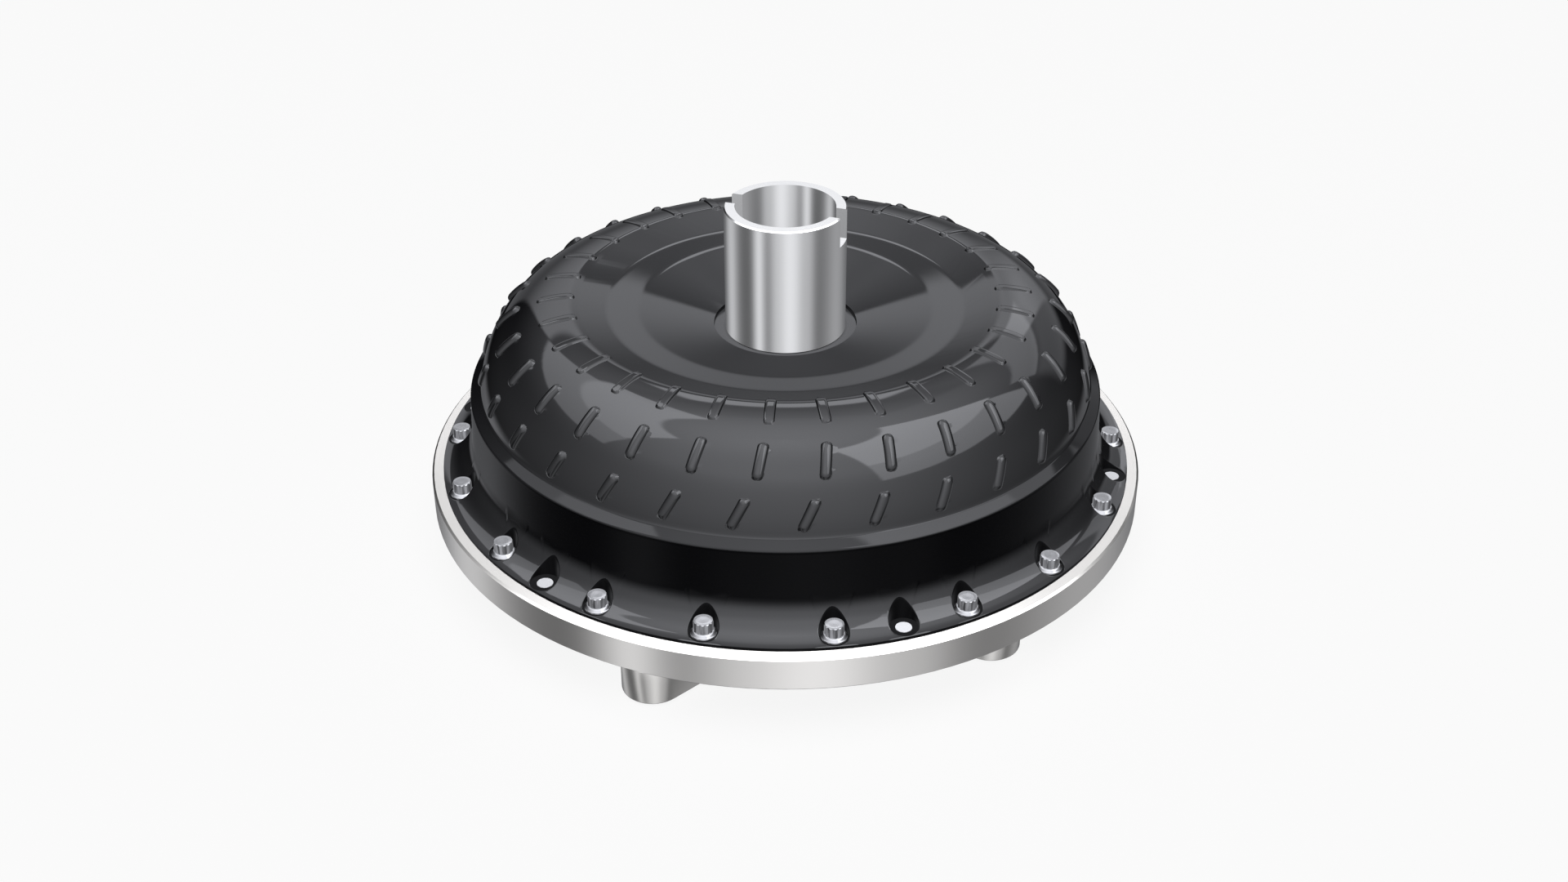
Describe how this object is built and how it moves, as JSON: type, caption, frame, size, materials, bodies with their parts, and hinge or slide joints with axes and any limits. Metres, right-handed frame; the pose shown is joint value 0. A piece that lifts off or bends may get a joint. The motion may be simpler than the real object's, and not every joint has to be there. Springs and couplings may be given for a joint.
{
  "type": "torque converter",
  "caption": "Bolt-together hydrodynamic torque converter: a blade-beaded bowl housing on a lugged cover, with a notched pump hub, a turbine, and a stator on a one-way clutch.",
  "frame": {"origin": "on the shaft axis, in the plane of the drive lug faces", "axes": "+Z along the shaft axis, from the engine side towards the pump hub; -Y is the side the picture is taken from"},
  "size_m": [0.288, 0.288, 0.1356],
  "materials": {
    "shell_paint": "gloss black",
    "cover_steel": "machined, bright",
    "hub_steel": "ground, bright",
    "bolt_steel": "zinc plated",
    "pin_steel": "ground",
    "seal_rubber": "matte",
    "blade_steel": "bright pressed sheet",
    "turbine_steel": "pressed, oiled",
    "forged_steel": "machined forging",
    "stator_aluminium": "die cast",
    "race_steel": "hardened and ground",
    "spring_steel": "blued",
    "plate_brass": "satin",
    "cage_brass": "satin"
  },
  "bodies": {
    "housing": {"front_cover": "cover_steel", "drive_lugs": "cover_steel", "crank_pilot": "cover_steel", "cover_seal": "seal_rubber", "impeller_shell": "shell_paint", "pump_hub": "hub_steel", "flange_bolts": "bolt_steel", "dowel_pins": "pin_steel", "impeller_blades": "blade_steel", "impeller_core_ring": "blade_steel", "front_race_cover": "race_steel", "rear_race_hub": "race_steel"},
    "turbine": {"turbine_shell": "turbine_steel", "turbine_blades": "blade_steel", "turbine_core_ring": "blade_steel", "turbine_hub": "forged_steel", "turbine_rivets": "bolt_steel", "front_race_turbine": "race_steel", "middle_race_turbine": "race_steel"},
    "stator": {"stator_wheel": "stator_aluminium", "stator_cam_race": "race_steel", "clutch_rollers": "race_steel", "clutch_springs": "spring_steel", "clutch_front_plate": "plate_brass", "clutch_rear_plate": "plate_brass", "stator_snap_ring": "spring_steel", "middle_race_stator": "race_steel", "rear_race_stator": "race_steel"},
    "stator_support_race": {"stator_inner_race": "race_steel"},
    "front_bearing_cage": {"front_cage": "cage_brass", "front_needles": "race_steel"},
    "middle_bearing_cage": {"middle_cage": "cage_brass", "middle_needles": "race_steel"},
    "rear_bearing_cage": {"rear_cage": "cage_brass", "rear_needles": "race_steel"}
  },
  "joints": [
    {"name": "turbine_spin", "type": "hinge", "parent": "housing", "child": "turbine", "pos_m": [0, 0, 0.033], "axis": [0, 0, 1], "continuous": true},
    {"name": "stator_support_spin", "type": "hinge", "parent": "housing", "child": "stator_support_race", "pos_m": [0, 0, 0.061], "axis": [0, 0, 1], "continuous": true},
    {"name": "stator_overrun", "type": "hinge", "parent": "stator_support_race", "child": "stator", "pos_m": [0, 0, 0.061], "axis": [0, 0, 1], "continuous": true},
    {"name": "front_cage_spin", "type": "hinge", "parent": "housing", "child": "front_bearing_cage", "pos_m": [0, 0, 0.01775], "axis": [0, 0, 1], "continuous": true},
    {"name": "middle_cage_spin", "type": "hinge", "parent": "housing", "child": "middle_bearing_cage", "pos_m": [0, 0, 0.04825], "axis": [0, 0, 1], "continuous": true},
    {"name": "rear_cage_spin", "type": "hinge", "parent": "housing", "child": "rear_bearing_cage", "pos_m": [0, 0, 0.07375], "axis": [0, 0, 1], "continuous": true}
  ],
  "couplings": [
    {"joint": "front_cage_spin", "follows": "turbine_spin", "ratio": 0.5},
    {"joint": "middle_cage_spin", "follows": "turbine_spin", "ratio": 0.5},
    {"joint": "rear_cage_spin", "follows": "stator_support_spin", "ratio": 0.5}
  ]
}
